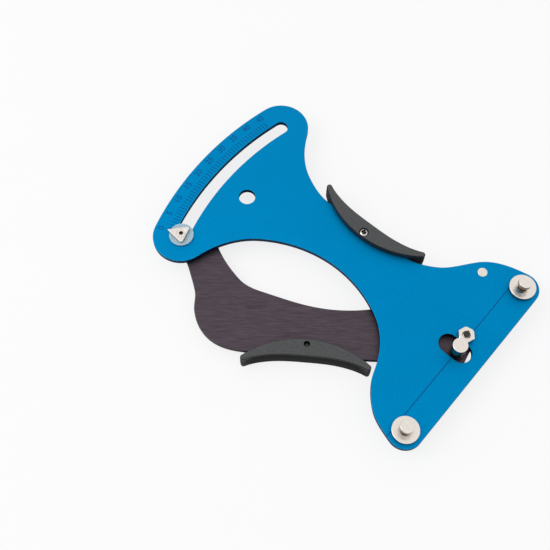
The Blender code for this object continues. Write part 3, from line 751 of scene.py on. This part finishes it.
for plate_name in ("frame", "lever"):
    seam_height = (levels(plate_name + "_grip_front")[0] + levels(plate_name + "_grip_back")[1]) / 2
    for side in ("front", "back"):
        node = f"{plate_name}_grip_{side}"
        low, high = levels(node)
        outer, seam = (high, low) if side == "front" else (low, high)
        half = copied(node)
        shape_wall(half, outer, seam)
        soften(half, grip_edge, segments=2, angle=35, clamp=True)
        spot = middle(plate_name + "_grip_screw")
        finish_piece(half, "moulded_" + node, node, [black_nylon], (*spot, seam_height))

# %% [markdown]
# ## Turned pieces
# Posts, studs, bolts, washers and bushes are all made on a lathe. The bmesh spin does the same: a few
# points give half the cross-section, which is swept once round an upright axis.

# %% Define the lathe
turned_edge = 0.15


def turned(profile, spot, steps=64, closed=False):
    """Spin (radius, height) points about an upright axis at spot. A closed profile makes a ring."""
    mesh = bmesh.new()
    points = [mesh.verts.new((radius, 0, height)) for radius, height in profile]
    for first, last in zip(points, points[1:]):
        mesh.edges.new((first, last))
    if closed:
        mesh.edges.new((points[-1], points[0]))
    bmesh.ops.spin(
        mesh,
        geom=mesh.verts[:] + mesh.edges[:],
        cent=(0, 0, 0),
        axis=(0, 0, 1),
        angle=math.tau,
        steps=steps,
        use_merge=True,
    )
    bmesh.ops.remove_doubles(mesh, verts=mesh.verts, dist=merge_distance)
    bmesh.ops.recalc_face_normals(mesh, faces=mesh.faces)
    bmesh.ops.translate(mesh, vec=(spot[0], spot[1], 0), verts=mesh.verts)
    return mesh


def ring(node, name, outer, inner, finish, edge=0.12):
    low, high = levels(node)
    spot = middle(node)
    mesh = turned([(inner, low), (outer, low), (outer, high), (inner, high)], spot, closed=True)
    soften(mesh, edge)
    finish_piece(mesh, name, node, [finish], spot)


# %% [markdown]
# ## The fixed posts
# A spoke rests against two fixed posts. Each is one turned piece: a wide flange on the plate, a narrow
# neck where the spoke lies, and a head that keeps it from slipping off. A small centre mark is left in
# the head where the lathe's tailstock held it.

# %% Turn the fixed posts
clearance = 0.3
mark_radius = 0.45
mark_depth = 0.35
head_radius = 3.6
head_side = 2.6
head_depth = 3.6
neck_radius = 2.4
flange_radius = 7.15
flange_thickness = 2.0
thread_radius = 2.0
thread_chamfer = 0.3
post_edge = 0.28
for side in ("upper", "lower"):
    node = side + "_fixed_post"
    low, high = levels(node)
    spot = middle(node)
    foot = frame_high + clearance
    flange_high = foot + flange_thickness
    post = turned([
        (0, high - mark_depth),
        (mark_radius, high),
        (head_radius, high),
        (head_radius, high - head_side),
        (neck_radius, high - head_depth),
        (neck_radius, flange_high),
        (flange_radius, flange_high),
        (flange_radius, foot),
        (thread_radius, foot),
        (thread_radius, low + thread_chamfer),
        (thread_radius - thread_chamfer, low),
        (0, low),
    ], spot)
    soften(post, post_edge, angle=40)
    # The neck gets the dark steel, as painted shade under the head.
    for face in post.faces:
        centre = face.calc_center_median()
        near_axis = (centre.to_2d() - spot).length < neck_radius + 0.4
        if near_axis and flange_high < centre.z < high - head_depth + 0.3:
            face.material_index = 1
    finish_piece(post, "turned_" + node, node, [nickel, painted_shade_steel], spot)

# %% [markdown]
# ## The moving post
# The third post stands on the lever, comes up through the window of the frame and pushes the spoke from
# the other side. It is a plain pin with a broken edge, riveted over below the lever.

# %% Turn the moving post
low, high = levels("moving_post")
spot = middle("moving_post")
pin_radius = 4.0
rivet_radius = 2.5
pin_edge = 0.3
post = turned([
    (0, high - mark_depth),
    (mark_radius, high),
    (pin_radius, high),
    (pin_radius, lever_high + clearance),
    (rivet_radius, lever_high + clearance),
    (rivet_radius, low),
    (0, low),
], spot)
soften(post, pin_edge, angle=40)
finish_piece(post, "turned_moving_post", "moving_post", [nickel], spot)

# %% [markdown]
# ## Nuts
# A nut is a hexagon whose corners are turned away by a shallow cone, which leaves a curved edge on each
# flat. That is how it is made here as well: a six-sided block, intersected with a turned body that has
# the cones, and then bored.

# %% Define and place the nuts
chamfer_slope = math.tan(math.radians(30))
chamfer_share = 0.97
corner_allowance = 0.1
mouth_depth = 0.3
nut_edge = 0.08
overrun = 0.5


def hexagon(flats, low, high, spot, turn=0):
    mesh = bmesh.new()
    turned_by = Matrix.Rotation(math.radians(turn), 4, "Z")
    bmesh.ops.create_circle(mesh, cap_ends=True, segments=6, radius=flats / math.sqrt(3), matrix=turned_by)
    top = bmesh.ops.extrude_face_region(mesh, geom=mesh.faces[:])
    moved = [v for v in top["geom"] if isinstance(v, bmesh.types.BMVert)]
    bmesh.ops.translate(mesh, vec=(0, 0, high - low), verts=moved)
    bmesh.ops.recalc_face_normals(mesh, faces=mesh.faces)
    bmesh.ops.translate(mesh, vec=(spot[0], spot[1], low), verts=mesh.verts)
    return mesh


def nut(node, flats, bore, turn=0):
    low, high = levels(node)
    spot = middle(node)
    corner = flats / math.sqrt(3) + corner_allowance
    face = flats / 2 * chamfer_share
    drop = (corner - face) * chamfer_slope
    cones = turned([
        (0, low),
        (face, low),
        (corner, low + drop),
        (corner, high - drop),
        (face, high),
        (0, high),
    ], spot)
    mouth = bore + mouth_depth + overrun
    drill = turned([
        (0, low - overrun),
        (mouth, low - overrun),
        (bore, low + mouth_depth),
        (bore, high - mouth_depth),
        (mouth, high + overrun),
        (0, high + overrun),
    ], spot)
    rounded = combine(hexagon(flats, low, high, spot, turn), cones, "INTERSECT")
    mesh = combine(rounded, drill, "DIFFERENCE")
    bmesh.ops.remove_doubles(mesh, verts=mesh.verts, dist=merge_distance)
    soften(mesh, nut_edge, segments=2, angle=50, clamp=True)
    finish_piece(mesh, "plated_" + node, node, [nickel], spot)


large_flats = 8.0
large_bore = 2.1
small_flats = 5.5
small_bore = 1.6
pivot_nut_turn = -20
nut("pivot_nut", large_flats, large_bore, pivot_nut_turn)
nut("upper_post_nut", large_flats, large_bore)
nut("lower_post_nut", large_flats, large_bore)
nut("pointer_nut", small_flats, small_bore)

# %% [markdown]
# ## The pivot
# One shoulder bolt carries the lever. Seen from behind it is a button head with a hexagon socket. The
# lever's bronze bush turns on its shoulder, between a steel washer and a bronze one, and a nut holds the
# bolt in front.

# %% Turn the pivot bolt and its washers


def recess(mesh, cutter):
    """Cut a drive recess, and give what it leaves the dark steel of painted shade as second material."""
    before = {tuple(round(c, 3) for c in face.calc_center_median()) for face in mesh.faces}
    bounds = [v.co.copy() for v in cutter.verts]
    low = Vector([min(v[i] for v in bounds) - 0.01 for i in range(3)])
    high = Vector([max(v[i] for v in bounds) + 0.01 for i in range(3)])
    mesh = combine(mesh, cutter, "DIFFERENCE")
    for face in mesh.faces:
        centre = face.calc_center_median()
        inside = all(low[i] < centre[i] < high[i] for i in range(3))
        if inside and tuple(round(c, 3) for c in centre) not in before:
            face.material_index = 1
    return mesh


low, high = levels("pivot_bolt")
shoulder_radius = 2.5
button_radius = 4.75
button_high = 2.6
button_curve = [(button_radius, 1.5), (4.45, 0.85), (3.9, 0.35), (3.1, low)]
bolt = turned([
    (0, high),
    (thread_radius - thread_chamfer, high),
    (thread_radius, high - thread_chamfer),
    (thread_radius, frame_low - clearance),
    (shoulder_radius, frame_low - clearance),
    (shoulder_radius, button_high),
    (button_radius, button_high),
    *button_curve,
    (0, low),
], pivot)
soften(bolt, turned_edge, angle=40)
socket_flats = 3.0
socket_depth = 1.4
bolt = recess(bolt, hexagon(socket_flats, low - 1.0, low + socket_depth, pivot))
# The thread end gets the dark steel, as painted shade inside the nut.
for face in bolt.faces:
    if face.normal.z > 0.9 and face.calc_center_median().z > high - 0.1:
        face.material_index = 1
finish_piece(bolt, "socket_head_pivot_bolt", "pivot_bolt", [nickel, painted_shade_steel], pivot)
shoulder_bore = 2.8
head_washer_radius = 5.0
thrust_washer_radius = 4.8
bush_radius = 4.0
ring("pivot_head_washer", "plated_pivot_washer", head_washer_radius, shoulder_bore, nickel)
ring("pivot_thrust_washer", "bronze_thrust_washer", thrust_washer_radius, shoulder_bore, bronze)
ring("pivot_bushing", "bronze_pivot_bush", bush_radius, shoulder_bore, bronze)

# %% [markdown]
# ## The pointer
# The pointer is a small plate with one sharp corner that reads the scale. A countersunk screw with a
# hexagon socket holds it on the lever, through the slot, on a spacer. A nylon washer slides on the frame.

# %% Dress the pointer stack
pointer_edge = 0.14
plate = copied("pointer")
soften(plate, pointer_edge, segments=2, angle=50)
finish_piece(plate, "nickel_pointer", "pointer", [nickel])
low, high = levels("pointer_screw")
countersunk_radius = 2.52
countersunk_depth = 0.95
shank_radius = 1.55
small_thread_radius = 1.5
screw_edge = 0.06
screw = turned([
    (0, high),
    (countersunk_radius, high),
    (shank_radius, high - countersunk_depth),
    (small_thread_radius, low + thread_chamfer),
    (small_thread_radius - thread_chamfer, low),
    (0, low),
], pin)
soften(screw, screw_edge, segments=2, angle=40)
small_socket_flats = 2.2
small_socket_depth = 0.9
screw = recess(screw, hexagon(small_socket_flats, high - small_socket_depth, high + 1.0, pin))
finish_piece(screw, "countersunk_pointer_screw", "pointer_screw", [nickel, painted_shade_steel], pin)
screw_bore = 1.8
glide_radius = 6.75
glide_edge = 0.2
spacer_radius = 3.5
ring("pointer_washer", "nylon_pointer_washer", glide_radius, screw_bore, white_nylon, glide_edge)
ring("pointer_spacer", "bronze_pointer_spacer", spacer_radius, screw_bore, bronze)

# %% [markdown]
# ## The grip screws
# A pan-head screw with a cross recess clamps the two halves of each grip through the plate. The frame's
# screw shows its head in front, the lever's at the back.

# %% Turn the grip screws
cross_slot = (3.0, 0.6, 2.0)
cross_turn = 20
pan_curve = [(1.5, 0.0), (2.05, 0.3), (2.3, 0.9), (2.3, 1.5), (1.4, 1.5)]
tip_curve = [(1.4, 0.4), (1.0, 0.0)]
for node, head_up in (("frame_grip_screw", True), ("lever_grip_screw", False)):
    low, high = levels(node)
    spot = middle(node)
    profile = [(0, high)]
    profile += [(radius, high - depth) for radius, depth in pan_curve]
    profile += [(radius, low + rise) for radius, rise in tip_curve]
    profile += [(0, low)]
    if not head_up:
        profile = [(radius, low + high - height) for radius, height in profile]
    screw = turned(profile, spot, 48)
    for turn in (cross_turn, cross_turn + 90):
        slot = bmesh.new()
        turned_by = Matrix.Rotation(math.radians(turn), 3, "Z")
        bmesh.ops.create_cube(slot, size=1.0)
        bmesh.ops.scale(slot, vec=cross_slot, verts=slot.verts)
        bmesh.ops.rotate(slot, cent=(0, 0, 0), matrix=turned_by, verts=slot.verts)
        bmesh.ops.translate(slot, vec=(spot.x, spot.y, high if head_up else low), verts=slot.verts)
        screw = recess(screw, slot)
    # The screw's point gets the dark steel, as painted shade in its hole.
    for face in screw.faces:
        if abs(face.calc_center_median().z - (low if head_up else high)) < 0.6:
            face.material_index = 1
    finish_piece(screw, "cross_head_" + node, node, [nickel, painted_shade_steel], spot)

# %% [markdown]
# ## Studs for the spring
# The spring hangs between two turned studs. One is riveted into the frame, so its flattened end shows as
# a bright disc in the blue, and the other into the lever. Each has a groove that keeps the hook in place.

# %% Turn the studs
neck_top = lever_low - clearance
flange_top = 1.3
groove_radius = 2.1
stud_flange_radius = 3.3
anchor_rivet_radius = 2.65
anchor_shoulder_radius = 3.6
lever_stud_radius = 2.0
for node, rivet, shoulder, shoulder_top in (
    ("spring_anchor_stud", anchor_rivet_radius, anchor_shoulder_radius, frame_low - clearance),
    ("lever_spring_stud", lever_stud_radius, lever_stud_radius, lever_low),
):
    low, high = levels(node)
    spot = middle(node)
    profile = [(0, high), (rivet, high), (rivet, shoulder_top), (shoulder, shoulder_top)]
    profile += [(shoulder, neck_top), (groove_radius, neck_top), (groove_radius, flange_top)]
    profile += [(stud_flange_radius, flange_top), (stud_flange_radius, low), (0, low)]
    profile = [point for i, point in enumerate(profile) if i == 0 or point != profile[i - 1]]
    stud = turned(profile, spot)
    soften(stud, turned_edge, angle=40)
    finish_piece(stud, "turned_" + node, node, [nickel], spot)

# %% [markdown]
# ## The return spring
# An extension spring pulls the lever back to zero. Its wire is one line of points swept by a round
# section: a hook, a coil and a hook. It crosses the joint, so it is blended: the hook in the frame stays,
# the hook on the lever follows, and the coil between them stretches. A blend turns each point about the
# pivot, which bows the coil by 4.6 mm at full squeeze. Starting it a quarter of the way along leaves
# 3.3 mm. A later start would straighten the coil further, but it shears the turns next to the lever.

# %% Wind the spring
wire_radius = 0.55
coil_radius = 2.95
coil_pitch = 1.55
coil_end_reach = 6.2
hook_bend = 1.4
bend_start_share = 0.25
steps_per_turn = 20
hook_steps = 18
bend_steps = 8
anchor = middle("spring_anchor_stud")
hook = middle("lever_spring_stud")
hook_level = (flange_top + neck_top) / 2
axis_level = hook_level + hook_bend
span = hook - anchor
along = span.normalized()
across = Vector((-along.y, along.x))
coil_turns = math.floor((span.length - 2 * coil_end_reach) / coil_pitch) + 0.5
coil_length = coil_turns * coil_pitch
coil_start = (span.length - coil_length) / 2
coil_end = coil_start + coil_length


def at(along_it, across_it, height):
    spot = anchor + along * along_it + across * across_it
    return Vector((spot.x, spot.y, height))


def arc(start, end, steps):
    return [math.radians(start + (end - start) * i / steps) for i in range(steps + 1)]


wire = [at(2 * wire_radius, -coil_radius, hook_level)]
for a in arc(-90, -270, hook_steps):
    wire.append(at(coil_radius * math.cos(a), coil_radius * math.sin(a), hook_level))
for a in arc(0, 80, bend_steps):
    along_it = coil_start - hook_bend * (1 - math.sin(a))
    wire.append(at(along_it, coil_radius, axis_level - hook_bend * math.cos(a)))
for a in arc(0, coil_turns * 360, round(coil_turns * steps_per_turn)):
    along_it = coil_start + a / math.tau * coil_pitch
    wire.append(at(along_it, coil_radius * math.cos(a), axis_level + coil_radius * math.sin(a)))
for a in arc(10, 90, bend_steps):
    along_it = coil_end + hook_bend * (1 - math.cos(a))
    wire.append(at(along_it, -coil_radius, axis_level - hook_bend * math.sin(a)))
for a in arc(-90, 90, hook_steps):
    wire.append(at(span.length + coil_radius * math.cos(a), coil_radius * math.sin(a), hook_level))
wire.append(at(span.length - 2 * wire_radius, coil_radius, hook_level))
curve = bpy.data.curves.new("wire", "CURVE")
curve.dimensions = "3D"
curve.bevel_depth = wire_radius
curve.bevel_resolution = 3
curve.use_fill_caps = True
line = curve.splines.new("POLY")
line.points.add(len(wire) - 1)
for point, place in zip(line.points, wire):
    point.co = (*place, 1)
spring = as_mesh(curve)
data = bpy.data.meshes.new("wound_return_spring")
spring.to_mesh(data)
spring.free()
data.transform(Matrix.Scale(MM, 4))
data.shade_smooth()
data.materials.append(spring_steel)
spring = bpy.data.objects.new("wound_return_spring", data)
bpy.context.scene.collection.objects.link(spring)
bend_start = (*(anchor + span * bend_start_share) * MM, axis_level * MM)
bend_end = (*hook * MM, axis_level * MM)
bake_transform(spring, "frame", "lever", start=bend_start, end=bend_end)
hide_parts("return_spring")
print("spring turns", coil_turns, "faces", len(data.polygons))

# %% [markdown]
# ## Floor and light
# The tool lies on a plain white table in an even light. A white world lights it from all sides, and one
# large lamp above gives the soft shadow. The levels add up to about one on a level surface, so a colour
# renders about as it is written. Where the world is seen or mirrored, it is full white. For the camera
# alone the table is mostly a plain white glow, which keeps the background white and the shadow in place.
# The table and the lamp are placed in metres.

# %% Lay the floor and light it
table_middle = Vector((-0.08, -0.02, 0))
table_half = 4.0
table_drop = 0.00002
camera_lift = 0.8
mottle_size = 50.0
world_level = 0.7
lamp_place = (-0.75, -0.6, 0.95)
lamp_size = 0.9
lamp_power = 4.8
floor_finish, tree, shader, place = start_material("white_table", Roughness=0.7)
mottle = add(tree, "TexNoise", {"Vector": place, "Scale": 1 / mottle_size, "Detail": 2.0})
pale = add(tree, "Mix", {"Factor": mottle, "A": "#F6F6F6", "B": "#FAFAFA"}, data_type="RGBA")
connect(tree, shader, "Base Color", pale)
seen = add(tree, "LightPath").outputs["Is Camera Ray"]
lift = add(tree, "Math", {0: seen, 1: camera_lift}, operation="MULTIPLY")
glow = add(tree, "Emission", {"Color": "#FFFFFF", "Strength": 1.0})
mixed = add(tree, "MixShader", {"Fac": lift, 1: shader.outputs["BSDF"], 2: glow})
tree.links.new(mixed.outputs[0], tree.nodes["Material Output"].inputs["Surface"])

mesh = bmesh.new()
bmesh.ops.create_grid(mesh, x_segments=8, y_segments=8, size=table_half)
data = bpy.data.meshes.new("table")
mesh.to_mesh(data)
mesh.free()
data.transform(Matrix.Translation(table_middle - Vector((0, 0, table_drop))))
data.materials.append(floor_finish)
floor = bpy.data.objects.new("table", data)
bpy.context.scene.collection.objects.link(floor)

world = bpy.data.worlds.new("studio")
world.use_nodes = True
bpy.context.scene.world = world
tree = world.node_tree
path = add(tree, "LightPath")
seen = path.outputs["Is Camera Ray"]
for ray in ("Is Glossy Ray", "Is Transmission Ray"):
    seen = add(tree, "Math", {0: seen, 1: path.outputs[ray]}, operation="MAXIMUM")
level = add(tree, "MapRange", {"Value": seen, "To Min": world_level, "To Max": 1.0})
connect(tree, tree.nodes["Background"], "Color", "#FFFFFF")
connect(tree, tree.nodes["Background"], "Strength", level)

lamp_data = bpy.data.lights.new("softbox", "AREA")
lamp_data.shape = "DISK"
lamp_data.size = lamp_size
lamp_data.energy = lamp_power
lamp = bpy.data.objects.new("softbox", lamp_data)
lamp.location = lamp_place
lamp.rotation_euler = (table_middle - lamp.location).to_track_quat("-Z", "Y").to_euler()
bpy.context.scene.collection.objects.link(lamp)
bpy.context.scene.view_settings.view_transform = "Standard"
print("lamp", lamp_power, "W")
